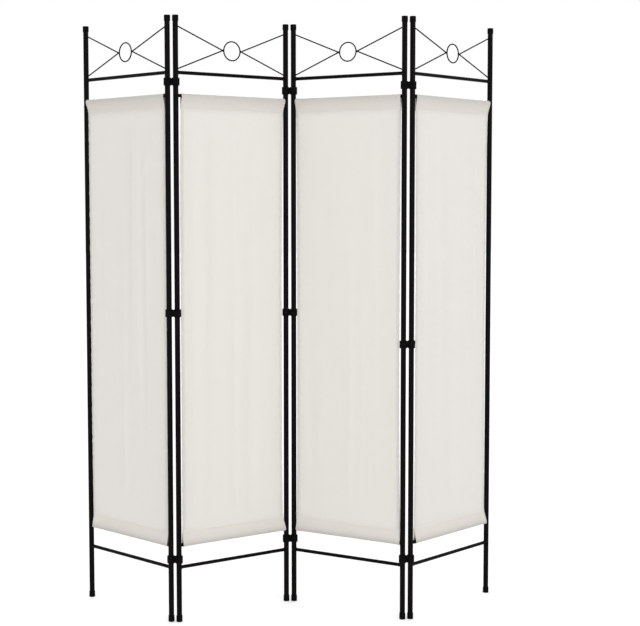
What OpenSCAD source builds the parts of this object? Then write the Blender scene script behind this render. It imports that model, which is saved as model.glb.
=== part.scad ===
// Four-panel folding screen: tubular steel frames with a ring crest, each
// holding a fabric panel on two rods, joined by plastic figure-eight clips
// that both neighbouring posts turn in. Millimetres, +Z up, front faces -Y,
// origin on the floor under the middle of the standing screen.

/* [Screen] */
// Overall height, floor to the top of the post caps
screen_h = 1800; // [1500:10:2100]
// Width of one panel, post axis to post axis
panel_w = 380; // [300:5:500]
// Angle of the two outer panels from the line of the screen
outer_fold = 44.3; // [5:0.1:70]
// Angle of the two inner panels from the line of the screen
inner_fold = 31.7; // [5:0.1:70]

/* [Posts] */
// Outer diameter of the post tube
post_d = 16; // [14:0.5:22]
// Wall of the post tube
post_wall = 1; // [0.8:0.1:2]

/* [Rails] */
// Outer diameter of the top and bottom rail tubes
rail_d = 10.5; // [8:0.5:14]
// Wall of the rail tubes
rail_wall = 1; // [0.8:0.1:2]
// Height of the bottom rail's axis above the floor
bottom_rail_z = 165; // [120:5:260]
// Distance of the top rail's axis below the top of the screen
top_rail_drop = 166; // [150:2:260]

/* [Crest] */
// Diameter of the bent crest rods
crest_rod_d = 4; // [3:0.5:6]
// Distance of the crest rods' upper ends below the top of the screen
crest_end_drop = 29; // [24:1:50]
// Distance of the crest rods' lower ends above the top rail's axis
crest_end_rise = 8; // [8:1:20]
// Outer diameter of the crest ring
ring_d = 60; // [40:1:80]
// Diameter of the wire of the crest ring
ring_wire_d = 4; // [3:0.5:6]
// Depth to which the ring beds into the bend of each crest rod
ring_bed = 0.6; // [0.2:0.1:1.2]

/* [Caps and feet] */
// Wall of the caps and feet around the post
boot_wall = 1.2; // [0.8:0.1:2]
// Height of a post cap
cap_h = 17; // [12:0.5:30]
// Thickness of the cap above the post's end
cap_top = 3; // [2:0.5:5]
// Height of a foot
foot_h = 18; // [12:0.5:30]
// Thickness of the foot under the post's end
foot_sole = 4; // [3:0.5:8]
// Radius of the rounded edge of caps and feet
boot_edge_r = 2; // [1:0.1:2.8]

/* [Hinge clips] */
// Height of a clip
clip_h = 23; // [15:0.5:40]
// Wall of a clip around the post
clip_wall = 3.5; // [2.5:0.1:5]
// Width of the web that joins the two rings of a clip
clip_web_w = 12; // [6:0.5:16]
// Radius of the clip's rounded outer edges
clip_edge_r = 2; // [1:0.1:2.3]
// Running clearance between a clip's bore and the post, on the radius
clip_clear = 0.05; // [0.02:0.01:0.1]
// Space between neighbouring clips when the screen is folded shut
clip_gap = 1; // [0.5:0.1:3]
// Middle of each junction's bottom clip above the bottom rail's axis
clip_bottom_rise = [24, 35, 19]; // [18:1:100]
// Middle of each junction's middle clip above half height
clip_middle_rise = [28, 14, -67]; // [-300:1:300]
// Middle of each junction's top clip below the top rail's axis
clip_top_drop = [27, 36, 35]; // [18:1:60]

/* [Fabric rods] */
// Outer diameter of the fabric rod tube
fabric_rod_d = 10; // [8:0.5:14]
// Wall of the fabric rod tube
fabric_rod_wall = 1; // [0.8:0.1:2]
// Distance from each rail's axis to the axis of the fabric rod beside it
rod_to_rail = 67; // [45:1:150]
// Thickness of the end plug's flange
plug_flange_t = 1.5; // [1:0.1:3]
// Diameter of the end plug's nose
plug_nose_d = 5; // [4:0.1:6]
// Length of the end plug's nose beyond the flange
plug_nose_l = 5; // [3:0.5:6]
// Length of the end plug's spigot inside the rod
plug_spigot_l = 12; // [6:0.5:25]

/* [Fabric] */
// Thickness of the fabric
fabric_t = 1; // [0.6:0.1:2]
// Space between each end of the fabric's rod pockets and the post
pocket_gap = 0.8; // [0.3:0.1:12]
// Looseness of the pocket around its rod, on the radius
pocket_clear = 0.2; // [0.1:0.05:1]
// Distance of the seam that closes each pocket from the rod's axis
seam_drop = 36; // [20:1:60]
// Height of the sewn strip at the seam, where a pocket's layers are one
seam_strip = 2; // [1:0.5:6]
// Depth to which each side edge draws in at half height
draw_in = 5; // [0:0.5:20]

/* [Fits] */
// Clearance of the pushed-together pieces, on the radius
push_fit = 0.05; // [0.02:0.01:0.15]

/* [Hidden] */
$fn = 48;
PANELS = 4;
PANEL_PARTS = [
    "left_post", "right_post", "top_rail", "bottom_rail", "crest_rods",
    "crest_ring", "post_caps", "feet", "upper_fabric_rod",
    "lower_fabric_rod", "rod_end_plugs", "fabric"
];
CLIP_LEVELS = ["bottom", "middle", "top"];

STEEL = "#1c1c1e";
PLASTIC = "#141414";
CLOTH = "#e4e1d6";

// Heights
post_bottom_z = foot_sole;
post_top_z = screen_h - cap_top;
top_rail_z = screen_h - top_rail_drop;
crest_top_z = screen_h - crest_end_drop;
crest_low_z = top_rail_z + crest_end_rise;
ring_z = (crest_top_z + crest_low_z) / 2;
upper_rod_z = top_rail_z - rod_to_rail;
lower_rod_z = bottom_rail_z + rod_to_rail;

// Widths along one panel, from its left post's axis
post_r = post_d / 2;
boot_r = post_r + push_fit + boot_wall;
ring_r = (ring_d - ring_wire_d) / 2;
bend_x = (panel_w - ring_d - crest_rod_d) / 2 + ring_bed;
rod_end_x = post_r + plug_flange_t;
plug_hole_r = plug_nose_d / 2 + push_fit;
pocket_in_r = fabric_rod_d / 2 + pocket_clear;
pocket_r = pocket_in_r + fabric_t;
pocket_end_x = post_r + pocket_gap;

// Hinge clips: each sits on two posts, one pitch apart
clip_bore_r = post_r + clip_clear;
clip_r = clip_bore_r + clip_wall;
clip_pitch = 2 * clip_r + clip_gap;

// Plan of the standing screen: heading of each panel and of the clips
// between them, and where each panel's left post stands
PANEL_HEADING = [-outer_fold, inner_fold, -inner_fold, outer_fold];
CLIP_HEADING = [
    for (j = [0 : PANELS - 2]) (PANEL_HEADING[j] + PANEL_HEADING[j + 1]) / 2
];
function heading(a) = [cos(a), sin(a)];
function left_axis(i) =
    i == 0 ? [0, 0]
           : right_axis(i - 1) + clip_pitch * heading(CLIP_HEADING[i - 1]);
function right_axis(i) = left_axis(i) + panel_w * heading(PANEL_HEADING[i]);

// Middle of the outline in plan: clips stand out furthest at the junctions
// and caps at the two free posts
INNER_AXES = concat(
    [for (i = [0 : PANELS - 2]) right_axis(i)],
    [for (i = [1 : PANELS - 1]) left_axis(i)]
);
FREE_AXES = [left_axis(0), right_axis(PANELS - 1)];
function low_side(k) = min(concat(
    [for (p = INNER_AXES) p[k] - clip_r], [for (p = FREE_AXES) p[k] - boot_r]));
function high_side(k) = max(concat(
    [for (p = INNER_AXES) p[k] + clip_r], [for (p = FREE_AXES) p[k] + boot_r]));
plan_middle = [(low_side(0) + high_side(0)) / 2, (low_side(1) + high_side(1)) / 2];

function arc(centre, r, from, to, steps = 6) = [
    for (i = [0 : steps])
        centre + r * heading(from + (to - from) * i / steps)
];

// Puts a part drawn along a panel's own line where that panel stands
module on_panel(n)
    translate(concat(left_axis(n - 1) - plan_middle, [0]))
        rotate([0, 0, PANEL_HEADING[n - 1]])
            children();

// Puts a clip drawn from its left post's axis on junction j
module on_junction(j)
    translate(concat(right_axis(j - 1) - plan_middle, [0]))
        rotate([0, 0, CLIP_HEADING[j - 1]])
            children();

// The same shape at the left post and, mirrored, at the right post
module at_both_posts() {
    children();
    translate([panel_w, 0, 0])
        mirror([1, 0, 0])
            children();
}

// A round bar between two points of the panel's plane, given as [x, z]
module bar(from, to, d) {
    run = to - from;
    translate([from[0], 0, from[1]])
        rotate([0, 90 - atan2(run[1], run[0]), 0])
            cylinder(h = norm(run), d = d);
}

module post_outline()
    cylinder(h = screen_h, d = post_d);

// A post tube with holes in its inner side for the rod plugs' noses
module post_tube()
    color(STEEL)
        difference() {
            translate([0, 0, post_bottom_z])
                cylinder(h = post_top_z - post_bottom_z, d = post_d);
            cylinder(h = screen_h, d = post_d - 2 * post_wall);
            for (z = [lower_rod_z, upper_rod_z])
                translate([0, 0, z])
                    rotate([0, 90, 0])
                        cylinder(h = post_d, r = plug_hole_r);
        }

module left_post()
    post_tube();

module right_post()
    translate([panel_w, 0, 0])
        mirror([1, 0, 0])
            post_tube();

// A rail tube, its ends coped to sit on the posts
module rail(z)
    color(STEEL)
        difference() {
            bar([0, z], [panel_w, z], rail_d);
            bar([0, z], [panel_w, z], rail_d - 2 * rail_wall);
            at_both_posts() post_outline();
        }

module top_rail()
    rail(top_rail_z);

module bottom_rail()
    rail(bottom_rail_z);

// Two rods, each bent to a V whose bend holds the ring
module crest_rods()
    color(STEEL)
        difference() {
            at_both_posts() {
                bar([0, crest_top_z], [bend_x, ring_z], crest_rod_d);
                bar([0, crest_low_z], [bend_x, ring_z], crest_rod_d);
                translate([bend_x, 0, ring_z])
                    sphere(d = crest_rod_d);
            }
            at_both_posts() post_outline();
            ring_wire();
        }

module ring_wire()
    translate([panel_w / 2, 0, ring_z])
        rotate([90, 0, 0])
            rotate_extrude($fn = 96)
                translate([ring_r, 0])
                    circle(d = ring_wire_d);

module crest_ring()
    color(STEEL)
        ring_wire();

// A plastic boot that slips over a tube's end: closed at z = 0, its
// rounded face downwards
module boot(h, closed_t)
    rotate_extrude()
        difference() {
            polygon(concat(
                [[0, 0]],
                arc([boot_r - boot_edge_r, boot_edge_r], boot_edge_r, -90, 0),
                [[boot_r, h], [0, h]]
            ));
            translate([0, closed_t])
                square([post_r + push_fit, h]);
        }

module post_caps()
    color(PLASTIC)
        at_both_posts()
            translate([0, 0, screen_h])
                mirror([0, 0, 1])
                    boot(cap_h, cap_top);

module feet()
    color(PLASTIC)
        at_both_posts()
            boot(foot_h, foot_sole);

// A tube that carries one end of the fabric
module fabric_rod(z)
    color(STEEL)
        difference() {
            bar([rod_end_x, z], [panel_w - rod_end_x, z], fabric_rod_d);
            bar([0, z], [panel_w, z], fabric_rod_d - 2 * fabric_rod_wall);
        }

module upper_fabric_rod()
    fabric_rod(upper_rod_z);

module lower_fabric_rod()
    fabric_rod(lower_rod_z);

// Moulded plugs in the rods' ends: a spigot in the rod, a flange against
// the post and a nose in the post's hole
module rod_end_plugs()
    color(PLASTIC)
        for (z = [lower_rod_z, upper_rod_z])
            at_both_posts() {
                bar([post_r - plug_nose_l, z], [rod_end_x, z], plug_nose_d);
                bar([post_r, z], [rod_end_x, z], fabric_rod_d);
                bar([post_r, z], [rod_end_x + plug_spigot_l, z],
                    fabric_rod_d - 2 * (fabric_rod_wall + push_fit));
            }

// Profile of a rod pocket, from its rod's axis at the origin: round the rod
// and flat from there down to its tip
module pocket_profile(r, tip_half_t, tip_drop) {
    lean = asin(pocket_in_r / tip_drop);
    circle(r = r);
    polygon([
        r * [cos(lean), -sin(lean)], [tip_half_t, -tip_drop],
        [-tip_half_t, -tip_drop], r * [-cos(lean), -sin(lean)]
    ]);
}

// A rod pocket along the panel, hanging from a rod at the origin, its two
// layers sewn together over the strip above the seam
module rod_pocket() {
    pocket_l = panel_w - 2 * pocket_end_x;
    translate([pocket_end_x, 0, 0])
        rotate([90, 0, 90])
            difference() {
                linear_extrude(pocket_l)
                    pocket_profile(pocket_r, fabric_t, seam_drop);
                translate([0, 0, -pocket_l])
                    linear_extrude(3 * pocket_l)
                        pocket_profile(pocket_in_r, 0.01, seam_drop - seam_strip);
            }
}

// A side edge of the sheet as [x, z] above the lower rod: drawn in most at
// half height between the seams, and straight inside the sewn strips
function side_edge(sheet_h) = concat(
    [[pocket_end_x, seam_drop - seam_strip / 2]],
    [
        for (i = [0 : 16])
            let (share = i / 16)
                [
                    pocket_end_x + draw_in * (1 - pow(2 * share - 1, 4)),
                    seam_drop + (sheet_h - 2 * seam_drop) * share
                ]
    ],
    [[pocket_end_x, sheet_h - seam_drop + seam_strip / 2]]
);

// The fabric: a sheet in the plane of the rods, with a pocket on each rod
module fabric() {
    sheet_h = upper_rod_z - lower_rod_z;
    left = side_edge(sheet_h);
    right = [for (i = [len(left) - 1 : -1 : 0]) [panel_w - left[i][0], left[i][1]]];
    color(CLOTH) {
        translate([0, fabric_t / 2, lower_rod_z])
            rotate([90, 0, 0])
                linear_extrude(fabric_t)
                    polygon(concat(left, right));
        translate([0, 0, upper_rod_z])
            rod_pocket();
        translate([0, 0, lower_rod_z])
            mirror([0, 0, 1])
                rod_pocket();
    }
}

// Ring of a clip, with rounded outer edges
module clip_ring()
    rotate_extrude()
        polygon(concat(
            [[0, -clip_h / 2]],
            arc([clip_r - clip_edge_r, clip_edge_r - clip_h / 2], clip_edge_r, -90, 0),
            arc([clip_r - clip_edge_r, clip_h / 2 - clip_edge_r], clip_edge_r, 0, 90),
            [[0, clip_h / 2]]
        ));

// A figure-eight clip around two posts, its middle at height z
module clip(z) {
    web_h = clip_h - 2 * clip_edge_r;
    color(PLASTIC)
        translate([0, 0, z])
            difference() {
                union() {
                    clip_ring();
                    translate([clip_pitch, 0, 0])
                        clip_ring();
                    translate([0, -clip_web_w / 2, -web_h / 2])
                        cube([clip_pitch, clip_web_w, web_h]);
                }
                for (x = [0, clip_pitch])
                    translate([x, 0, -clip_h])
                        cylinder(h = 2 * clip_h, r = clip_bore_r);
            }
}

module bottom_clip(j)
    clip(bottom_rail_z + clip_bottom_rise[j - 1]);

module middle_clip(j)
    clip(screen_h / 2 + clip_middle_rise[j - 1]);

module top_clip(j)
    clip(top_rail_z - clip_top_drop[j - 1]);

for (n = [1 : PANELS]) {
    on_panel(n) left_post();
    on_panel(n) right_post();
    on_panel(n) top_rail();
    on_panel(n) bottom_rail();
    on_panel(n) crest_rods();
    on_panel(n) crest_ring();
    on_panel(n) post_caps();
    on_panel(n) feet();
    on_panel(n) upper_fabric_rod();
    on_panel(n) lower_fabric_rod();
    on_panel(n) rod_end_plugs();
    on_panel(n) fabric();
}
for (j = [1 : PANELS - 1]) {
    on_junction(j) bottom_clip(j);
    on_junction(j) middle_clip(j);
    on_junction(j) top_clip(j);
}
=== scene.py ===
# %% [markdown]
# # A folding room divider
#
# The screen is four steel frames of welded tube, each with a cream panel of cloth stretched
# between two rods, joined by black plastic clips. The engineering model already holds every tube,
# clip, cap and rod at its real size, so this lesson only adds what such a model leaves plain: the
# cloth with its hems and stitches, the weld beads, and the finish of every surface.
#
# The first step loads that model as a fixed frame. Nothing in it is moved; new pieces are placed
# from its boxes, in metres.

# %% Load the frame
import math

import bpy
import numpy as np
from mathutils import Matrix, Vector


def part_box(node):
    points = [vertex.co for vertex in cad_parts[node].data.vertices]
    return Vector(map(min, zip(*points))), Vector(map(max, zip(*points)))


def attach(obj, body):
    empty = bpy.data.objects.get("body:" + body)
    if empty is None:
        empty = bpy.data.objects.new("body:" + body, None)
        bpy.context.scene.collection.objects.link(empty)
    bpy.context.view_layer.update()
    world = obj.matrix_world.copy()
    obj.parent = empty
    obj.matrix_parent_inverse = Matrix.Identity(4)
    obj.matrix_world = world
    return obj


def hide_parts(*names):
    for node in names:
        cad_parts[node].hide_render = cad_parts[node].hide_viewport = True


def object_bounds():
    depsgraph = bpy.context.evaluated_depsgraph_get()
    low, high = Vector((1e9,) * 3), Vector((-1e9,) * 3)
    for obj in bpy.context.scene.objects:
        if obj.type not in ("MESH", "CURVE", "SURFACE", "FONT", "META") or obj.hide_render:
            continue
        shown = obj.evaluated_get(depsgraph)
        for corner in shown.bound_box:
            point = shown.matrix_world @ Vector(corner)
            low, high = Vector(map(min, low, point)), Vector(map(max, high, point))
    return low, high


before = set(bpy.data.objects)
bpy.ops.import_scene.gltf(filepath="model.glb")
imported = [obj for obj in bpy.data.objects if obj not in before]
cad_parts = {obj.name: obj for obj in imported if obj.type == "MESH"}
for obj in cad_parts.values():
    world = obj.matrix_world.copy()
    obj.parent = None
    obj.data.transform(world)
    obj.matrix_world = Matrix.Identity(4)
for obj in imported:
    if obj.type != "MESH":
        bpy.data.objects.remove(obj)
model_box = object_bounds()

# %% [markdown]
# ## Measuring the frame
#
# Each panel is easiest to think about in its own axes: x runs from its left post to its right
# post, y from front to back and z up, with x = y = 0 on the left post's axis. A matrix takes
# those axes to where the panel stands. The posts are upright tubes, so the middle of a post's
# box is its axis, and half the box's width is its radius.

# %% Axes and sizes of the panels
MM = 0.001
PANELS = (1, 2, 3, 4)


def middle(node):
    low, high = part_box(node)
    return (Vector(low) + Vector(high)) / 2


def half_size(node):
    low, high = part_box(node)
    return (Vector(high) - Vector(low)) / 2


def panel_place(n):
    left, right = middle(f"panel_{n}_left_post"), middle(f"panel_{n}_right_post")
    along = (right - left).normalized()
    back = Vector((-along.y, along.x, 0))
    columns = (along, back, Vector((0, 0, 1)), Vector((left.x, left.y, 0)))
    return Matrix([[c[row] for c in columns] for row in range(3)] + [[0, 0, 0, 1]])


PLACE = {n: panel_place(n) for n in PANELS}
panel_width = (middle("panel_1_right_post") - middle("panel_1_left_post")).length
post_r = half_size("panel_1_left_post").x
rod_r = half_size("panel_1_upper_fabric_rod").z
rail_r = half_size("panel_1_top_rail").z
upper_rod_z = middle("panel_1_upper_fabric_rod").z
lower_rod_z = middle("panel_1_lower_fabric_rod").z
rail_heights = (middle("panel_1_bottom_rail").z, middle("panel_1_top_rail").z)
print("panel width", round(panel_width, 4), "post radius", round(post_r, 4))

# %% [markdown]
# ## Small helpers
#
# An operator acts on everything that is selected, and loading the frame leaves its nodes
# selected, so each step starts by clearing the selection. Every finished piece is named, placed
# in its mesh, given its material, and tied to the body that carries it.


# %% Helpers for selecting and finishing
def select_only(*objects):
    if bpy.context.mode != "OBJECT":
        bpy.ops.object.mode_set(mode="OBJECT")
    bpy.ops.object.select_all(action="DESELECT")
    for piece in objects:
        piece.select_set(True)
    if objects:
        bpy.context.view_layer.objects.active = objects[0]


def join(pieces, name):
    select_only(*pieces)
    if len(pieces) > 1:
        bpy.ops.object.join()
    piece = bpy.context.active_object
    piece.name = name
    piece.data.name = name
    bpy.ops.object.transform_apply(location=True, rotation=True, scale=True)
    return piece


def copy_at(piece, place):
    twin = piece.copy()
    twin.data = piece.data.copy()
    bpy.context.collection.objects.link(twin)
    twin.matrix_world = place
    return twin


def finish_piece(piece, material, body):
    piece.data.materials.clear()
    piece.data.materials.append(material)
    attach(piece, body)
    print(piece.name, "-", len(piece.data.polygons), "faces")


# %% [markdown]
# ## Helpers for materials
#
# A material is a small chain of nodes. Three things come up in all of them: a noise at a size
# that is given in metres, a remap of its value to a range, and a bump. These helpers keep the
# chains short and readable. Most of a noise lies between 0.3 and 0.7, so remap starts from there.


# %% Helpers for material nodes
def new_material(name):
    material = bpy.data.materials.new(name)
    material.use_nodes = True
    nodes = material.node_tree.nodes
    return material, nodes, material.node_tree.links, nodes["Principled BSDF"]


def add_node(nodes, kind, **values):
    node = nodes.new(kind)
    for name, value in values.items():
        if hasattr(node, name):
            setattr(node, name, value)
        else:
            node.inputs[name.replace("_", " ").title()].default_value = value
    return node


def noise(nodes, links, place, cell, detail=2.0, roughness=0.5):
    """A noise whose cells are about cell metres across."""
    texture = add_node(nodes, "ShaderNodeTexNoise", scale=1 / cell, detail=detail,
                       roughness=roughness)
    links.new(place, texture.inputs["Vector"])
    return texture.outputs["Fac"]


def remap(nodes, links, value, low, high, start=0.3, end=0.7):
    """Value's range from start to end becomes low to high."""
    node = add_node(nodes, "ShaderNodeMapRange")
    numbers = {"From Min": start, "From Max": end, "To Min": low, "To Max": high}
    for name, number in numbers.items():
        node.inputs[name].default_value = number
    links.new(value, node.inputs["Value"])
    return node.outputs["Result"]


def mix_colours(nodes, links, share, first, second):
    node = add_node(nodes, "ShaderNodeMix", data_type="RGBA")
    links.new(share, node.inputs["Factor"])
    colours = [s for s in node.inputs if s.type == "RGBA"]
    for socket, colour in zip(colours, (first, second)):
        if hasattr(colour, "is_linked"):
            links.new(colour, socket)
        else:
            socket.default_value = (*colour, 1)
    return [s for s in node.outputs if s.type == "RGBA"][0]


def bump(nodes, links, height, depth, strength=1.0, under=None):
    """A bump of about depth metres, on top of another bump if one is given."""
    node = add_node(nodes, "ShaderNodeBump", strength=strength, distance=depth)
    links.new(height, node.inputs["Height"])
    if under is not None:
        links.new(under, node.inputs["Normal"])
    return node.outputs["Normal"]


def connect(links, outputs, shader):
    """Each output goes to the shader's socket of that name."""
    for name, output in outputs.items():
        links.new(output, shader.inputs[name])


# %% [markdown]
# ## Black powder-coated steel
#
# The tubes are sprayed with black powder that melts into a thin, slightly dimpled skin. It is
# dark and not very shiny, so the base colour is near black, the specular level is low, and a
# noise about a millimetre across gives the dimples. A broader noise makes the gloss uneven, as
# powder is never baked quite evenly.

# %% Steel finish
STEEL_DARK = (0.0018, 0.0012, 0.0013)
STEEL_LIGHT = (0.0034, 0.0024, 0.0026)
STEEL_CLOUD = 40 * MM
GLOSS_PATCH = 9 * MM
DIMPLE = 1.1 * MM
DIMPLE_DEPTH = 0.05 * MM
LOW_SPECULAR = 0.045


def make_steel():
    material, nodes, links, shader = new_material("black_powder_coat")
    place = add_node(nodes, "ShaderNodeTexCoord").outputs["Object"]
    clouds = noise(nodes, links, place, STEEL_CLOUD, detail=4.0, roughness=0.6)
    tone = remap(nodes, links, clouds, 0.0, 1.0)
    patches = noise(nodes, links, place, GLOSS_PATCH, detail=3.0)
    dimples = noise(nodes, links, place, DIMPLE, detail=1.0)
    connect(links, {
        "Base Color": mix_colours(nodes, links, tone, STEEL_DARK, STEEL_LIGHT),
        "Roughness": remap(nodes, links, patches, 0.28, 0.38),
        "Normal": bump(nodes, links, dimples, DIMPLE_DEPTH, strength=0.25),
    }, shader)
    shader.inputs["Specular IOR Level"].default_value = LOW_SPECULAR
    return material


steel = make_steel()
print("made", steel.name)

# %% [markdown]
# ## Black moulded plastic
#
# The clips, caps, feet and rod plugs are moulded plastic. It is a touch duller than the powder
# coat and has a fine even grain from the mould, so the noise is smaller and the surface rougher.

# %% Plastic finish
PLASTIC_DARK = (0.0020, 0.0015, 0.0016)
PLASTIC_LIGHT = (0.0034, 0.0027, 0.0028)
PLASTIC_CLOUD = 15 * MM
GRAIN = 0.45 * MM
GRAIN_DEPTH = 0.03 * MM


def make_plastic():
    material, nodes, links, shader = new_material("black_moulded_plastic")
    place = add_node(nodes, "ShaderNodeTexCoord").outputs["Object"]
    clouds = noise(nodes, links, place, PLASTIC_CLOUD, detail=3.0)
    tone = remap(nodes, links, clouds, 0.0, 1.0)
    grain = noise(nodes, links, place, GRAIN, detail=1.0)
    connect(links, {
        "Base Color": mix_colours(nodes, links, tone, PLASTIC_DARK, PLASTIC_LIGHT),
        "Roughness": remap(nodes, links, clouds, 0.55, 0.66),
        "Normal": bump(nodes, links, grain, GRAIN_DEPTH, strength=0.45),
    }, shader)
    shader.inputs["Specular IOR Level"].default_value = LOW_SPECULAR
    return material


plastic = make_plastic()
print("made", plastic.name)

# %% [markdown]
# ## The weave
#
# The panels are a plain-woven polyester cotton. The weave follows the cloth, so it is drawn on
# the piece's own UV map, whose units are metres of flat cloth. Two sets of thin bands, one across
# the other, lift each thread, and a noise that is stretched along each direction makes some
# threads a little thicker, as in any real yarn. A wave texture counts its bands in its own unit,
# so its scale is that unit divided by the distance from band to band.

# %% Helpers for the weave
THREAD = 0.55 * MM
WAVE_UNIT = 0.314


def stretched_noise(nodes, links, flat, across, along, seed):
    """Noise whose cells are across by along metres on the flat cloth."""
    mapping = add_node(nodes, "ShaderNodeMapping")
    mapping.inputs["Scale"].default_value = (1 / across, 1 / along, 1)
    mapping.inputs["Location"].default_value = (seed, 2 * seed, 0)
    links.new(flat, mapping.inputs["Vector"])
    return noise(nodes, links, mapping.outputs["Vector"], 1.0, detail=2.0)


def bands(nodes, links, place, direction, pitch):
    """Bands at a pitch in metres, from 0 between them to 1 at their middles."""
    wave = add_node(nodes, "ShaderNodeTexWave", wave_type="BANDS", bands_direction=direction,
                    wave_profile="SIN")
    wave.inputs["Scale"].default_value = WAVE_UNIT / pitch
    links.new(place, wave.inputs["Vector"])
    return wave.outputs["Fac"]


def multiply(nodes, links, a, b):
    node = add_node(nodes, "ShaderNodeMath", operation="MULTIPLY")
    links.new(a, node.inputs[0])
    links.new(b, node.inputs[1])
    return node.outputs["Value"]


print("one thread is", round(THREAD / MM, 2), "mm wide")

# %% [markdown]
# ## Painted shade near the pockets
#
# The map also says how far a point is from a seam. Near each pocket the colour carries painted
# shade and painted light. The pocket is painted faintly paler next to its seam and the sheet
# faintly darker beyond it. This softens the edge of the shade where the cloth is double, so that
# edge never looks cut out. Over the rod a narrow band is painted darker, a painted shadow of the
# black rod inside, and the whole pocket is made a little warmer. Most of the lower pocket is
# painted paler than the upper one, which stands in for light from the floor.
#
# Painting this by hand would need a picture. A colour ramp does it with numbers instead: each stop
# is a distance from the end of the double cloth and the tone there, and the ramp eases between
# them. A ramp holds values up to 1, so the tones are halved in it and doubled afterwards.

# %% Painted shade along the cloth
SEAM_DROP = 36 * MM
ALLOWANCE = 6 * MM
sheet_height = upper_rod_z - lower_rod_z - 2 * SEAM_DROP
# (millimetres from the end of the double cloth towards the rod, tone: below 1 is painted shade,
# above 1 painted light)
UPPER_PAINTED_SHADE = ((-14, 1.0), (-1.5, 0.98), (1.5, 1.02), (12, 1.006), (23, 0.99), (32, 0.96),
               (42, 0.915), (60, 0.915), (72, 1.0))
LOWER_PAINTED_SHADE = ((-14, 1.0), (-1.5, 0.99), (1.5, 1.045), (12, 1.04), (28, 1.028), (35, 0.98),
               (42, 0.88), (60, 0.88), (72, 1.0))
POCKET_WARMTH = 1.38


def tone_curve(nodes, links, share, tones):
    """A smooth curve through the tones, halved; share is 0 at the first and 1 at the last."""
    curve = add_node(nodes, "ShaderNodeValToRGB")
    curve.color_ramp.interpolation = "EASE"
    stops = curve.color_ramp.elements
    while len(stops) < len(tones):
        stops.new(position=0.5)
    first, last = tones[0][0], tones[-1][0]
    for stop, (beyond, tone) in zip(stops, tones):
        stop.position = (beyond - first) / (last - first)
        stop.color = (tone / 2, tone / 2, tone / 2, 1)
    links.new(share, curve.inputs["Fac"])
    return curve.outputs["Color"]


def painted_pocket_shade(nodes, links, flat):
    """(tone, warmth) of the painted shade and light near the pockets, 1 where there is none."""
    place = add_node(nodes, "ShaderNodeSeparateXYZ")
    links.new(flat, place.inputs["Vector"])
    from_middle = add_node(nodes, "ShaderNodeMath", operation="ABSOLUTE")
    links.new(place.outputs["Y"], from_middle.inputs[0])
    is_lower = add_node(nodes, "ShaderNodeMath", operation="GREATER_THAN")
    links.new(place.outputs["Y"], is_lower.inputs[0])
    is_lower.inputs[1].default_value = 0.0
    double_end = sheet_height / 2 - ALLOWANCE
    first, last = (double_end + UPPER_PAINTED_SHADE[k][0] * MM for k in (0, -1))
    share = remap(nodes, links, from_middle.outputs["Value"], 0.0, 1.0, first, last)
    upper = tone_curve(nodes, links, share, UPPER_PAINTED_SHADE)
    lower = tone_curve(nodes, links, share, LOWER_PAINTED_SHADE)
    halved = mix_colours(nodes, links, is_lower.outputs["Value"], upper, lower)
    tone = remap(nodes, links, halved, 0.0, 2.0, 0.0, 1.0)
    warmth = remap(nodes, links, from_middle.outputs["Value"], 1.0, POCKET_WARMTH,
                   double_end, double_end + 2 * ALLOWANCE)
    return tone, warmth


print("sheet between the seams:", round(sheet_height, 4), "m")

# %% [markdown]
# ## Cream cloth
#
# The cloth is thin enough that light comes through. That is a mix of two shaders: a rough one for
# the face and a translucent one for the light that passes. A hem or a pocket has two layers, so
# less light passes there and it looks darker by itself, apart from the painted shade above. A
# trace of sheen stands for the fine fluff of the yarn.

# %% Cloth finish
CLOTH_LIGHT = (0.900, 0.882, 0.853)
CLOTH_DARK = (0.866, 0.846, 0.815)
THROUGH = 0.36
LONG_SLUB = (1.4 * MM, 120 * MM)
CROSS_SLUB = (90 * MM, 1.2 * MM)
THREAD_DEPTH = 0.10 * MM
SLUB_DEPTH = 0.15 * MM


def cloth_pattern(nodes, links, flat):
    """(colour, normal) of the woven cloth, with its slubs and the painted shade near its pockets.
    """
    weave = multiply(nodes, links, *(bands(nodes, links, flat, axis, 2 * THREAD) for axis in "XY"))
    long_slubs = stretched_noise(nodes, links, flat, *LONG_SLUB, seed=3.0)
    cross_slubs = stretched_noise(nodes, links, flat, *CROSS_SLUB, seed=7.0)
    slubs = multiply(nodes, links, remap(nodes, links, long_slubs, 0.45, 1.0),
                     remap(nodes, links, cross_slubs, 0.6, 1.0))
    colour = mix_colours(nodes, links, slubs, CLOTH_DARK, CLOTH_LIGHT)
    woven = mix_colours(nodes, links, remap(nodes, links, weave, 0.0, 1.0, 0.0, 0.5),
                        CLOTH_DARK, colour)
    tone, warmth = painted_pocket_shade(nodes, links, flat)
    toned = add_node(nodes, "ShaderNodeHueSaturation")
    connect(links, {"Color": woven, "Value": tone, "Saturation": warmth}, toned)
    normal = bump(nodes, links, weave, THREAD_DEPTH, strength=0.5)
    normal = bump(nodes, links, slubs, SLUB_DEPTH, strength=0.35, under=normal)
    return toned.outputs["Color"], normal


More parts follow.
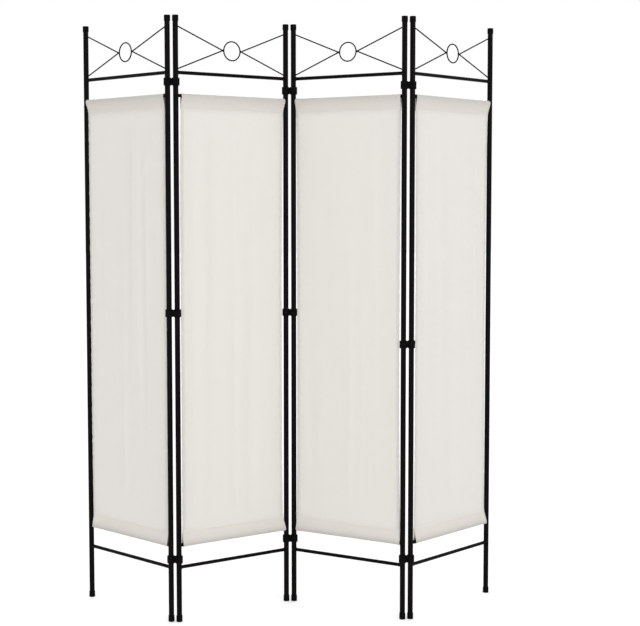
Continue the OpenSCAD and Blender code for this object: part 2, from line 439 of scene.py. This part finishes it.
def make_cloth():
    material, nodes, links, shader = new_material("cream_cloth")
    flat = add_node(nodes, "ShaderNodeUVMap", uv_map="flat_cloth").outputs["UV"]
    colour, normal = cloth_pattern(nodes, links, flat)
    connect(links, {"Base Color": colour, "Normal": normal}, shader)
    shader.inputs["Roughness"].default_value = 0.9
    shader.inputs["Specular IOR Level"].default_value = 0.15
    shader.inputs["Sheen Weight"].default_value = 0.06
    shader.inputs["Sheen Roughness"].default_value = 0.5
    passing = add_node(nodes, "ShaderNodeBsdfTranslucent")
    connect(links, {"Color": colour, "Normal": normal}, passing)
    both = add_node(nodes, "ShaderNodeMixShader")
    both.inputs["Fac"].default_value = THROUGH
    links.new(shader.outputs["BSDF"], both.inputs[1])
    links.new(passing.outputs["BSDF"], both.inputs[2])
    links.new(both.outputs["Shader"], nodes["Material Output"].inputs["Surface"])
    return material


cloth_finish = make_cloth()
print("made", cloth_finish.name)

# %% [markdown]
# ## Sewing thread
#
# The thread is the cloth's own colour, a shade lighter, and a fine slanted band shows its twist.

# %% Thread finish
THREAD_DARK = (0.72, 0.69, 0.64)
THREAD_LIGHT = (0.82, 0.79, 0.75)
TWIST = 0.6 * MM
TWIST_DEPTH = 0.05 * MM


def make_thread():
    material, nodes, links, shader = new_material("cream_thread")
    place = add_node(nodes, "ShaderNodeTexCoord").outputs["Object"]
    twist = bands(nodes, links, place, "DIAGONAL", TWIST)
    connect(links, {
        "Base Color": mix_colours(nodes, links, twist, THREAD_DARK, THREAD_LIGHT),
        "Normal": bump(nodes, links, twist, TWIST_DEPTH, strength=0.5),
    }, shader)
    shader.inputs["Roughness"].default_value = 0.7
    shader.inputs["Specular IOR Level"].default_value = 0.3
    return material


thread_finish = make_thread()
print("made", thread_finish.name)

# %% [markdown]
# ## Finish the model's own pieces
#
# The tubes, rails, crest rods, rings and fabric rods get the powder coat; clips, caps, feet and
# plugs get the plastic. Only the material slots change, never the meshes.

# %% Paint the frame's nodes
PLASTIC_WORDS = ("caps", "feet", "plugs", "clip")


def is_plastic(node):
    return any(word in node for word in PLASTIC_WORDS)


for node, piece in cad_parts.items():
    finish = plastic if is_plastic(node) else steel
    for material_slot in piece.material_slots:
        material_slot.material = finish
print("painted", len(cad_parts), "nodes")

# %% [markdown]
# ## The cloth's path over its rods
#
# Each panel is one long strip. Seen from the side, it starts at the back just below the upper
# seam, climbs behind the upper rod, goes over it, and comes down in front to the seam that
# closes the pocket. From there it hangs as a single sheet to the lower seam, and the same path
# follows upside down around the lower rod.
#
# A simulation would only settle what two rods already decide, so the sheet is laid out by rule:
# rows follow the path, columns go across the cloth. The path depends on the layer. The hem folds
# back behind the sheet, so its return lies inside the pocket and the face bulges over it.

# %% Rows round the rods
CLOTH_T = 0.5 * MM
LAYER_GAP = 0.8 * MM
HEM_GAP = 0.72 * MM
ROD_SLACK = 0.25 * MM
face_r = rod_r + ROD_SLACK + CLOTH_T / 2
END_ROWS = 3
FLANK_ROWS = 10
ARC_ROWS = 19
POCKET_ROWS = END_ROWS + FLANK_ROWS + ARC_ROWS + FLANK_ROWS - 1
# how full the front of a pocket is: 0 is a straight line from the rod to the seam
PILLOW = 0.35


def smooth(t):
    t = np.clip(t, 0, 1)
    return t * t * (3 - 2 * t)


def pocket_path(radius, front, back):
    """Side view of the upper pocket as [y, z] from the rod's axis, from the cloth's end behind
    the seam, over the rod, to just before the seam in front. The three sizes are arrays, one
    value for each column."""
    lean = math.asin(face_r / SEAM_DROP)
    rows = []
    for t in np.linspace(0, 1, END_ROWS, endpoint=False):
        rows.append((back, -SEAM_DROP - ALLOWANCE * (1 - t)))
    for t in np.linspace(0, 1, FLANK_ROWS, endpoint=False):
        z = (1 - t) * -SEAM_DROP - t * radius * math.sin(lean)
        rows.append((back + (radius * math.cos(lean) - back) * t, z))
    for angle in np.linspace(-lean, math.pi + lean, ARC_ROWS):
        rows.append((radius * math.cos(angle), radius * math.sin(angle)))
    for t in np.linspace(0, 1, FLANK_ROWS, endpoint=False)[1:]:
        ease = t + PILLOW * (smooth(t) - t)
        z = (t - 1) * radius * math.sin(lean) - t * SEAM_DROP
        rows.append((-radius * math.cos(lean) * (1 - ease) + front * ease, z))
    return np.array([[np.broadcast_to(v, radius.shape) for v in row] for row in rows])


print("rows round a rod:", POCKET_ROWS)

# %% [markdown]
# ## From rod to rod
#
# The lower pocket is the upper one upside down, so its rows are the same ones mirrored and taken
# in the opposite order. Between the two seams the rows are evenly spaced.

# %% Rows of the whole strip
SHEET_ROWS = 260


def from_rod(pocket, rod_z, up):
    """A pocket's rows at their rod, upright (up = 1) or upside down (up = -1)."""
    return pocket * np.array([1, up])[None, :, None] + np.array([0, rod_z])[None, :, None]


def cloth_rows(radius, front, back):
    """The whole strip as [row, (y, z), column], with heights above the floor."""
    pocket = pocket_path(radius, front, back)
    top = from_rod(pocket, upper_rod_z, 1)
    bottom = from_rod(pocket, lower_rod_z, -1)[::-1]
    heights = np.linspace(upper_rod_z - SEAM_DROP, lower_rod_z + SEAM_DROP, SHEET_ROWS)
    sheet = np.array([[front, np.full(front.shape, height)] for height in heights])
    return np.concatenate([top, sheet, bottom])


print("rows between the seams:", SHEET_ROWS)

# %% [markdown]
# ## The cloth's columns and its hems
#
# Across the cloth the columns start at the raw edge of the left hem, run outwards along its
# return, turn round the folded edge and cross the face to the right hem. Each column says how
# far it is from the folded edge and whether it lies on the face (0) or on the return (1).

# %% Columns of the cloth
HEM_WIDTH = 10 * MM
HEM_FADE = 5 * MM
HEM_PRESS = 0.12 * MM
FACE_COLUMNS = 72
# millimetres from the folded edge: on the return, round the fold with the layer, on the face
RETURN_STEPS = (10, 8.5, 6.5, 4.5, 2.5, 1.2)
TURN = ((0.36, 1.0), (0.105, 0.854), (0.0, 0.5), (0.105, 0.146), (0.36, 0.0))
FACE_STEPS = (1.2, 2.5, 4.5, 6.5, 8.5, 10, 12, 15)

edge_steps = [(d * MM, 1.0) for d in RETURN_STEPS]
edge_steps += [(d * MM, layer) for d, layer in TURN]
edge_steps += [(d * MM, 0.0) for d in FACE_STEPS]
edge_in = np.array([d for d, layer in edge_steps])
edge_layer = np.array([layer for d, layer in edge_steps])
shares = np.linspace(0, 1, FACE_COLUMNS + 2)[1:-1]
column_layer = np.concatenate([edge_layer, 0 * shares, edge_layer[::-1]])
hem_mask = 1 - smooth((edge_in - HEM_WIDTH) / HEM_FADE)
hem_mask = np.concatenate([hem_mask, 0 * shares, hem_mask[::-1]])
radius_at = face_r + HEM_GAP * hem_mask * (1 - column_layer)
front_at = HEM_GAP * column_layer - HEM_PRESS * hem_mask * (1 - column_layer)
back_at = LAYER_GAP + 2 * HEM_GAP * hem_mask - HEM_GAP * column_layer
strip = cloth_rows(radius_at, front_at, back_at)
print("cloth grid:", strip.shape[0], "rows by", strip.shape[2], "columns")

# %% [markdown]
# ## How each panel hangs
#
# No two panels sit alike: one is pulled to the left, another bunches against a post, and some
# corners lap over the front of the post. The insets below say how far each side edge lies from
# its post's axis, in millimetres at the upper rod, at half height and at the lower rod. The
# slips then move a corner on its own: outwards over the post, or inwards along the rod.

# %% Side edges of each panel
# per panel: left (top, waist, bottom), right (top, waist, bottom), millimetres
INSETS = {
    1: ((9.0, 10.0, 13.3), (13.5, 12.8, 11.0)),
    2: ((17.3, 12.8, 13.0), (9.2, 15.5, 13.0)),
    3: ((9.4, 12.8, 10.0), (11.0, 14.0, 8.0)),
    4: ((15.5, 19.0, 16.0), (9.0, 17.0, 13.0)),
}
# per panel: left (top, bottom), right (top, bottom), millimetres outwards
SLIPS = {
    1: ((4.2, 0.0), (0.0, 0.0)),
    2: ((0.0, 0.0), (4.2, 8.0)),
    3: ((0.6, 0.0), (0.0, 0.0)),
    4: ((0.0, -5.0), (4.2, 7.4)),
}
SLIP_HEIGHT = 30 * MM
POST_CLEAR = 0.35 * MM


def side_inset(sizes, slips, z):
    top, waist, bottom = (s * MM for s in sizes)
    share = 2 * (z - lower_rod_z) / (upper_rod_z - lower_rod_z) - 1
    end = np.where(share > 0, top, bottom)
    inset = waist + (end - waist) * np.abs(share) ** 3
    for rod_z, slip in zip((upper_rod_z, lower_rod_z), slips):
        inset = inset - slip * MM * np.exp(-(((z - rod_z) / SLIP_HEIGHT) ** 2))
    return inset


print("side edges of", len(INSETS), "panels")

# %% [markdown]
# ## Creases
#
# Cloth under light tension keeps faint upright creases from its folding. Each is a long, narrow
# ridge or groove, strongest in its middle and fading all round, and a panel has fifteen of them
# at random places. A random generator with a fixed seed gives the same ones every time.

# %% Creases of one panel
CREASES = 15
STEEPEST = 0.13


def creases(rng, x, z):
    """Upright folds from storage, narrow ones and broad soft ones, as a shift along y."""
    half = (upper_rod_z + lower_rod_z) / 2
    shift = 0 * x
    for _ in range(CREASES):
        centre = rng.uniform(0.05, 0.95) * panel_width
        slant = rng.uniform(-0.015, 0.015)
        width = rng.uniform(6, 24) * MM
        depth = rng.uniform(-STEEPEST, STEEPEST) * width
        start = half + rng.uniform(-0.6, 0.6)
        reach = rng.uniform(0.3, 1.0)
        across = (x - centre - slant * (z - start)) / width
        shift = shift + depth * np.exp(-(across**2) - ((z - start) / reach) ** 2)
    return shift


print("creases on a panel:", CREASES)

# %% [markdown]
# ## Puckers, wavy edges and the post
#
# Each panel hollows back a little between its posts. Sewing draws the cloth up into small puckers
# along the seams, and leaves a slight wave along the hems. Like the creases, these are shifts
# along y that depend on where a point is on the panel, so both layers of a pocket shift together.
# The shift fades out at the rods, which hold the cloth straight. Where the cloth would run into a
# post, it is pushed out of the post's round, as a real corner slides round the tube.

# %% Relief of the cloth
BELLY = 2.0 * MM
# radians over a panel's width; a little under pi puts the hollow off the middle
BELLY_SKEW = 3
PUCKER = 0.22 * MM
PUCKER_LENGTHS = (17 * MM, 26 * MM, 41 * MM)
PUCKER_REACH = 14 * MM
EDGE_WAVE = 0.40 * MM
EDGE_LENGTHS = (21 * MM, 34 * MM, 57 * MM)
EDGE_BAND = 20 * MM
EDGE_FADE = 16 * MM
# the cloth is held straight up to FREE_FROM from a rod, and moves freely FREE_OVER further on
FREE_FROM = 0.7 * SEAM_DROP
FREE_OVER = 4 * SEAM_DROP
TINY = 1e-6


def soft_wave(rng, position, lengths, amplitude):
    """A sum of sines with random phases: a wave that doesn't repeat over the panel."""
    total = 0 * position
    for length in lengths:
        total = total + np.sin(2 * math.pi * position / length + rng.uniform(0, 2 * math.pi))
    return amplitude * total / math.sqrt(len(lengths))


def nearest(z, upper, lower):
    """How far z is from the nearer of two heights."""
    return np.minimum(np.abs(upper - z), np.abs(lower - z))


def cloth_relief(rng, x, z):
    """How far each point of the cloth stands behind the plane of its rods."""
    to_rod = nearest(z, upper_rod_z, lower_rod_z)
    free = smooth((to_rod - FREE_FROM) / FREE_OVER)
    shift = creases(rng, x, z)
    belly = math.sin(rng.uniform(0, math.pi)) * BELLY
    share = x / panel_width
    shift = shift + belly * np.sin(math.pi * share) * np.sin(BELLY_SKEW * share)
    shift = shift * free
    to_seam = nearest(z, upper_rod_z - SEAM_DROP, lower_rod_z + SEAM_DROP)
    pucker = soft_wave(rng, x, PUCKER_LENGTHS, PUCKER)
    shift = shift + pucker * np.exp(-((to_seam / PUCKER_REACH) ** 2)) * smooth(to_rod / SEAM_DROP)
    for edge_x in (0, panel_width):
        past_band = np.maximum(np.abs(x - edge_x) - EDGE_BAND, 0)
        wave = soft_wave(rng, z, EDGE_LENGTHS, EDGE_WAVE)
        shift = shift + wave * np.exp(-((past_band / EDGE_FADE) ** 2)) * free
    return shift


def clear_of_post(x, y, post_x):
    """Points nearer the post's axis than its round allows move straight out to it."""
    keep = post_r + CLOTH_T / 2 + POST_CLEAR
    reach = np.hypot(x - post_x, y)
    grow = np.maximum(keep / np.maximum(reach, TINY), 1)
    return post_x + (x - post_x) * grow, y * grow


print("a panel hollows by up to", BELLY / MM, "mm")

# %% [markdown]
# ## The sheet's points
#
# Now the parts come together. The strip gives the side view, the side edges say where each column
# starts and ends at every height, and the relief shifts the points along y. Each panel has a seed
# of its own, so no two hang alike.

# %% Points of one sheet
FIRST_SEED = 20
RIPPLE = 0.25 * MM
RIPPLE_LENGTHS = (23 * MM, 38 * MM)


def cloth_points(n):
    """[row, column, (x, y, z)] in the panel's own axes."""
    rng = np.random.default_rng(FIRST_SEED + n)
    y, z = strip[:, 0, :], strip[:, 1, :]
    left_sizes, right_sizes = INSETS[n]
    left = side_inset(left_sizes, SLIPS[n][0], z)
    right = panel_width - side_inset(right_sizes, SLIPS[n][1], z)
    ripple = soft_wave(rng, z, RIPPLE_LENGTHS, RIPPLE)
    left, right = left + ripple, right + ripple[:, ::-1]
    count = len(edge_in)
    x = np.empty_like(y)
    x[:, :count] = left[:, :count] + edge_in
    x[:, -count:] = right[:, -count:] - edge_in[::-1]
    first, last = x[:, count - 1], x[:, -count]
    x[:, count:-count] = first[:, None] + (last - first)[:, None] * shares
    y = y + cloth_relief(rng, x, z)
    for post_x in (0, panel_width):
        x, y = clear_of_post(x, y, post_x)
    return np.stack([x, y, z], axis=-1)


points_of = {n: cloth_points(n) for n in PANELS}
print("points of a sheet:", points_of[1].shape)

# %% [markdown]
# ## The flat cloth
#
# A tailor would ask how large the cloth was before it was sewn. That is the length of one column,
# and the length of the longest row, measured from point to point. The same lengths place each
# point on the flat cloth, which is what the weave is drawn on.

# %% Measure the flat cloth
def length_along(line):
    """How far each point of a line is from its start."""
    return np.concatenate([[0], np.cumsum(np.linalg.norm(np.diff(line, axis=0), axis=1))])


def flat_map(points):
    """Each point's place on the flat cloth, in metres from its middle: across, then along."""
    along = length_along(points[:, points.shape[1] // 2])
    across = length_along(points[points.shape[0] // 2])
    return np.stack(np.broadcast_arrays(across[None, :] - across[-1] / 2,
                                        along[:, None] - along[-1] / 2), axis=-1)


# %% [markdown]
# ## Make the sheets
#
# The grid of points becomes a mesh with one quad between each four neighbours, and a UV map that
# holds each point's place on the flat cloth. Solidify then gives it the cloth's thickness.

# %% Cloth meshes
def new_piece(name, points, faces, place):
    """A piece from points in a panel's own axes, moved to where the panel stands."""
    world = points @ np.array(place.to_3x3()).T + np.array(place.translation)
    mesh = bpy.data.meshes.new(name)
    mesh.from_pydata(world.tolist(), [], faces)
    piece = bpy.data.objects.new(name, mesh)
    bpy.context.collection.objects.link(piece)
    return piece


def sheet_piece(name, points, place):
    rows, columns = points.shape[:2]
    index = np.arange(rows * columns).reshape(rows, columns)
    quads = np.stack([index[:-1, :-1], index[1:, :-1], index[1:, 1:], index[:-1, 1:]], axis=-1)
    quads = quads.reshape(-1, 4)
    piece = new_piece(name, points.reshape(-1, 3), quads.tolist(), place)
    uv = piece.data.uv_layers.new(name="flat_cloth")
    corners = flat_map(points).reshape(-1, 2)[quads.ravel()]
    uv.data.foreach_set("uv", corners.astype(np.float32).ravel())
    piece.data.polygons.foreach_set("use_smooth", np.ones(len(quads), dtype=bool))
    return piece


def thicken(piece, thickness):
    select_only(piece)
    solid = piece.modifiers.new("thickness", "SOLIDIFY")
    solid.thickness = thickness
    solid.offset = 0
    bpy.ops.object.modifier_apply(modifier=solid.name)


cloth_of = {}
for n in PANELS:
    cloth_of[n] = sheet_piece(f"panel_{n}_cloth", points_of[n], PLACE[n])
    thicken(cloth_of[n], CLOTH_T)
    finish_piece(cloth_of[n], cloth_finish, f"panel_{n}")

# %% [markdown]
# ## Stitches
#
# One stitch is a small brick with bevelled edges, long enough in depth to show on both faces of
# the layers that it holds. It is modelled once; a loop then sets a copy at every step along the
# two seams and the two hems, turned to follow the cloth. Making thousands of objects would be
# slow, so the copies are placed as points of one mesh.

# %% Model one stitch
STITCH = Vector((2.6, 0.42, 1.62)) * MM
STITCH_BEVEL = 0.17 * MM
STITCH_PITCH = 3.6 * MM

select_only()
bpy.ops.mesh.primitive_cube_add(size=1)
one_stitch = bpy.context.active_object
one_stitch.scale = STITCH
bpy.ops.object.transform_apply(location=False, rotation=False, scale=True)
bpy.ops.object.mode_set(mode="EDIT")
bpy.ops.mesh.select_all(action="SELECT")
bpy.ops.mesh.bevel(offset=STITCH_BEVEL, segments=1, affect="EDGES")
bpy.ops.mesh.normals_make_consistent(inside=False)
bpy.ops.object.mode_set(mode="OBJECT")
stitch_points = np.array([v.co for v in one_stitch.data.vertices])
stitch_faces = [list(p.vertices) for p in one_stitch.data.polygons]
bpy.data.objects.remove(one_stitch)
print("one stitch:", len(stitch_faces), "faces")

# %% [markdown]
# ## Stitch lines
#
# A line of stitches follows a row or a column of the sheet's own points, so it bends as the cloth
# does. At every step it needs three directions: along the line, out of the cloth, and across.
# The stitch is sunk half-way into its layers, so that it shows on both sides.

# %% Helpers for a line of stitches
def outward(points):
    """The cloth's normal at each point, away from its return layer."""
    normal = np.cross(np.gradient(points, axis=0), np.gradient(points, axis=1))
    normal = normal / np.linalg.norm(normal, axis=2)[:, :, None]
    faces_back = normal[points.shape[0] // 2, points.shape[1] // 2, 1] > 0
    return -normal if faces_back else normal


def along_line(line, normals, sink):
    """A frame (middle, along, out) at each pitch of a line on the cloth, sunk into its layers."""
    length = length_along(line)
    places = np.arange(STITCH_PITCH, length[-1] - STITCH_PITCH, STITCH_PITCH)
    spot = np.stack([np.interp(places, length, line[:, k]) for k in range(3)], axis=-1)
    ahead = np.stack([np.interp(places + MM, length, line[:, k]) for k in range(3)], axis=-1)
    out = np.stack([np.interp(places, length, normals[:, k]) for k in range(3)], axis=-1)
    along = ahead - spot
    along /= np.linalg.norm(along, axis=1)[:, None]
    out -= along * np.sum(out * along, axis=1)[:, None]
    out /= np.linalg.norm(out, axis=1)[:, None]
    return spot - out * sink, along, out


def stitch_piece(name, lines, place):
    vertices, faces = [], []
    for spot, along, out in lines:
        axes = np.stack([along, np.cross(out, along), out], axis=1)
        made = np.einsum("vk,skc->svc", stitch_points, axes) + spot[:, None, :]
        start = len(vertices)
        vertices.extend(made.reshape(-1, 3))
        for s in range(len(spot)):
            base = start + s * len(stitch_points)
            faces.extend([[base + v for v in face] for face in stitch_faces])
    return new_piece(name, np.array(vertices), faces, place)


# %% [markdown]
# ## Sew the panels
#
# Each panel has four lines: one across at either seam, and one down each side hem, set in from
# the folded edge.

# %% Set the stitches on every panel
HEM_LINE = 8.5
hem_column = len(RETURN_STEPS) + len(TURN) + FACE_STEPS.index(HEM_LINE)


def stitch_lines(points):
    normal = outward(points)
    first, last = POCKET_ROWS, POCKET_ROWS + SHEET_ROWS - 1
    inside = slice(hem_column, points.shape[1] - hem_column)
    lines = []
    for row in (first, last):
        lines.append(along_line(points[row, inside], normal[row, inside], LAYER_GAP / 2))
    rows = slice(first + 1, last)
    for column in (hem_column, points.shape[1] - 1 - hem_column):
        lines.append(along_line(points[rows, column], normal[rows, column], HEM_GAP / 2))
    return lines


for n in PANELS:
    stitching = stitch_piece(f"panel_{n}_stitching", stitch_lines(points_of[n]), PLACE[n])
    finish_piece(stitching, thread_finish, f"panel_{n}")
    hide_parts(f"panel_{n}_fabric")

# %% [markdown]
# ## Weld beads
#
# Where a rail meets a post, a thin bead of weld runs round the joint under the powder coat. It
# starts as a torus round the rail. Every second ring of its points is selected and fattened,
# which gives the ripples that a welder leaves. No operator bends the bead to the round of the
# post, so each point then slides along the rail by a formula until it meets the tube. The bead
# is modelled once at a post's right side and copied to every joint.

# %% Model one weld bead
RIPPLES = 18
# shares of the bead's own radius
BEAD_OUT = 0.25
BEAD_ALONG = 0.2
RIPPLE_HEIGHT = 0.40


def make_bead(name, tube_r, bead_r):
    """A bead round a tube along +x that meets a post standing at the origin."""
    select_only()
    bpy.ops.mesh.primitive_torus_add(major_segments=2 * RIPPLES, minor_segments=8,
                                     major_radius=tube_r + BEAD_OUT * bead_r,
                                     minor_radius=bead_r, rotation=(0, math.pi / 2, 0))
    bead = bpy.context.active_object
    bead.name = name
    bpy.ops.object.transform_apply(location=False, rotation=True, scale=False)
    bpy.ops.object.mode_set(mode="EDIT")
    bpy.ops.mesh.select_all(action="DESELECT")
    bpy.ops.object.mode_set(mode="OBJECT")
    for vertex in bead.data.vertices:
        turn = math.atan2(vertex.co.y, vertex.co.z) / (2 * math.pi)
        vertex.select = round(turn * 2 * RIPPLES) % 2 == 0
    bpy.ops.object.mode_set(mode="EDIT")
    bpy.ops.transform.shrink_fatten(value=RIPPLE_HEIGHT * bead_r)
    bpy.ops.object.mode_set(mode="OBJECT")
    for vertex in bead.data.vertices:
        sideways = min(abs(vertex.co.y), post_r)
        vertex.co.x += math.sqrt(post_r**2 - sideways**2) + BEAD_ALONG * bead_r
    bpy.ops.object.shade_smooth()
    return bead


rail_bead = make_bead("rail_bead", tube_r=rail_r, bead_r=1.1 * MM)
print("rail bead:", len(rail_bead.data.polygons), "faces")

# %% [markdown]
# The crest rods are thin and meet the post at a slant, so their bead is smaller and leans with
# the rod. Where the ring sits in the bend of a rod, a blob of weld fills the corner: a ball that
# is flattened front to back, whose points are then shaken a little and smoothed again.

# %% Model the crest's beads and blobs
CREST_ROD_R = 2 * MM
BLOB = Vector((2.7, 2.5, 3.6)) * MM
BLOB_SHAKE = 0.45 * MM
crest_bead = make_bead("crest_bead", tube_r=CREST_ROD_R, bead_r=0.7 * MM)

select_only()
bpy.ops.mesh.primitive_uv_sphere_add(segments=20, ring_count=12, radius=1)
ring_blob = bpy.context.active_object
ring_blob.name = "ring_blob"
bpy.ops.object.mode_set(mode="EDIT")
bpy.ops.transform.resize(value=BLOB)
bpy.ops.transform.vertex_random(offset=BLOB_SHAKE, normal=1.0, seed=5)
bpy.ops.mesh.vertices_smooth(factor=0.5, repeat=2)
bpy.ops.object.mode_set(mode="OBJECT")
bpy.ops.object.shade_smooth()
print("blob:", len(ring_blob.data.polygons), "faces")

# %% [markdown]
# ## Set the welds on every panel
#
# The slope of a crest rod follows from the ring: a rod runs from the post to the ring's side at
# the ring's middle height. Turning a copy half round the panel's middle gives the other side.

# %% Copy the welds
RING_LAP = 0.6 * MM
BLOB_IN = 1.2 * MM
ring_half = half_size("panel_1_crest_ring").z
ring_z = middle("panel_1_crest_ring").z
crest_low, crest_high = (Vector(corner).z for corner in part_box("panel_1_crest_rods"))
bend_x = panel_width / 2 - ring_half - CREST_ROD_R + RING_LAP
mirror_side = Matrix.Translation((panel_width, 0, 0)) @ Matrix.Rotation(math.pi, 4, "Z")


def weld_places():
    """(bead, place) for each weld at one side of a panel."""
    places = [(rail_bead, Matrix.Translation((0, 0, z))) for z in rail_heights]
    for tip_z in (crest_high, crest_low):
        slope = math.atan2(ring_z - tip_z, bend_x - post_r)
        lean = Matrix.Translation((0, 0, tip_z)) @ Matrix.Rotation(-slope, 4, "Y")
        places.append((crest_bead, lean))
    places.append((ring_blob, Matrix.Translation((bend_x + BLOB_IN, 0, ring_z))))
    return places


for n in PANELS:
    copies = []
    for side in (Matrix.Identity(4), mirror_side):
        for bead, place in weld_places():
            copies.append(copy_at(bead, PLACE[n] @ side @ place))
    welds = join(copies, f"panel_{n}_welds")
    finish_piece(welds, steel, f"panel_{n}")
for pattern in (rail_bead, crest_bead, ring_blob):
    bpy.data.objects.remove(pattern)

# %% [markdown]
# ## The floor
#
# The floor is a plain white sheet that keeps a soft shadow. It adds a little light of its own for
# rays that see the background, so that it reads as white and its far edge melts into the world.
# That light is for the camera and for reflections only, so it never reaches the cloth.

# %% Floor
FLOOR_SIZE = 60
FLOOR_GLOW = 0.30
FLOOR_COLOUR = (0.86, 0.86, 0.86, 1)
select_only()
bpy.ops.mesh.primitive_plane_add(size=FLOOR_SIZE)
floor = bpy.context.active_object
floor.name = "studio_floor"
floor_finish, floor_nodes, floor_links, floor_shader = new_material("white_floor")
floor_shader.inputs["Base Color"].default_value = FLOOR_COLOUR
floor_shader.inputs["Roughness"].default_value = 1.0
floor_shader.inputs["Specular IOR Level"].default_value = 0.0
floor_shader.inputs["Emission Color"].default_value = (1, 1, 1, 1)


def seen_directly(nodes, links, low, high):
    """low, or high for rays that see the background: camera, glossy and transmission."""
    path = add_node(nodes, "ShaderNodeLightPath")
    glossy = add_node(nodes, "ShaderNodeMath", operation="MAXIMUM")
    links.new(path.outputs["Is Camera Ray"], glossy.inputs[0])
    links.new(path.outputs["Is Glossy Ray"], glossy.inputs[1])
    passing = add_node(nodes, "ShaderNodeMath", operation="MAXIMUM")
    links.new(glossy.outputs["Value"], passing.inputs[0])
    links.new(path.outputs["Is Transmission Ray"], passing.inputs[1])
    return remap(nodes, links, passing.outputs["Value"], low, high, 0.0, 1.0)


floor_links.new(seen_directly(floor_nodes, floor_links, 0.0, FLOOR_GLOW),
                floor_shader.inputs["Emission Strength"])
floor.data.materials.append(floor_finish)
print("floor glow for the camera:", FLOOR_GLOW)

# %% [markdown]
# ## Light from all round
#
# The world is a plain white room. It lights the cloth from both sides, which matters for a thin
# sheet, because what comes through from behind counts as much as what falls on its face. Seen
# directly it has a strength of 1, which is white, and it lights the screen a shade below that.

# %% World
WORLD_LIGHT = 0.95
world = bpy.data.worlds.new("studio")
world.use_nodes = True
bpy.context.scene.world = world
sky = world.node_tree.nodes["Background"]
sky.inputs["Color"].default_value = (1, 1, 1, 1)
strength = seen_directly(world.node_tree.nodes, world.node_tree.links, WORLD_LIGHT, 1.0)
world.node_tree.links.new(strength, sky.inputs["Strength"])
print("world light:", WORLD_LIGHT)

# %% [markdown]
# ## Two soft boxes
#
# A tall key box to the right of the camera makes the panels that face it a little paler than
# their neighbours, and draws a soft streak down each tube. A weaker one on the left fills the
# other two panels. Both stay low enough that a colour shows about as it is written.

# %% Soft boxes
screen_middle = (Vector(model_box[0]) + Vector(model_box[1])) / 2


def soft_box(name, place, size, watts):
    bpy.ops.object.light_add(type="AREA", location=place)
    lamp = bpy.context.active_object
    lamp.name = name
    lamp.data.shape = "RECTANGLE"
    lamp.data.size, lamp.data.size_y = size
    lamp.data.energy = watts
    lamp.rotation_euler = (screen_middle - Vector(place)).to_track_quat("-Z", "Y").to_euler()
    lamp.visible_camera = False
    print(name, "at", place)


soft_box("key_box", place=(1.7, -3.6, 1.8), size=(0.8, 2.2), watts=28)
soft_box("fill_box", place=(-1.9, -3.5, 0.5), size=(0.6, 2.2), watts=13)

# %% [markdown]
# ## The camera
#
# The camera stands four metres in front, at chest height, with a long lens, so the posts stay
# almost parallel. A slight downward tilt and a small shift share the framing between them: a
# large shift alone would push the screen out of the picture when it is seen from other sides.

# %% Camera
CAMERA_PLACE = (-0.057, -4.089, 1.251)
CAMERA_TURN = math.radians(2.08)
CAMERA_PITCH = math.radians(3.85)
bpy.ops.object.camera_add(location=CAMERA_PLACE)
camera = bpy.context.active_object
camera.rotation_euler = (math.pi / 2 - CAMERA_PITCH, 0, -CAMERA_TURN)
camera.data.lens = 75.3
camera.data.shift_y = -0.03
bpy.context.scene.camera = camera
bpy.context.scene.view_settings.view_transform = "Standard"
print("camera at", tuple(camera.location))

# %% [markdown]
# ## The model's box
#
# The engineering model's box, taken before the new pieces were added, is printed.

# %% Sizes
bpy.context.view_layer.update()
print("model box", [[round(v, 4) for v in corner] for corner in model_box])
select_only()
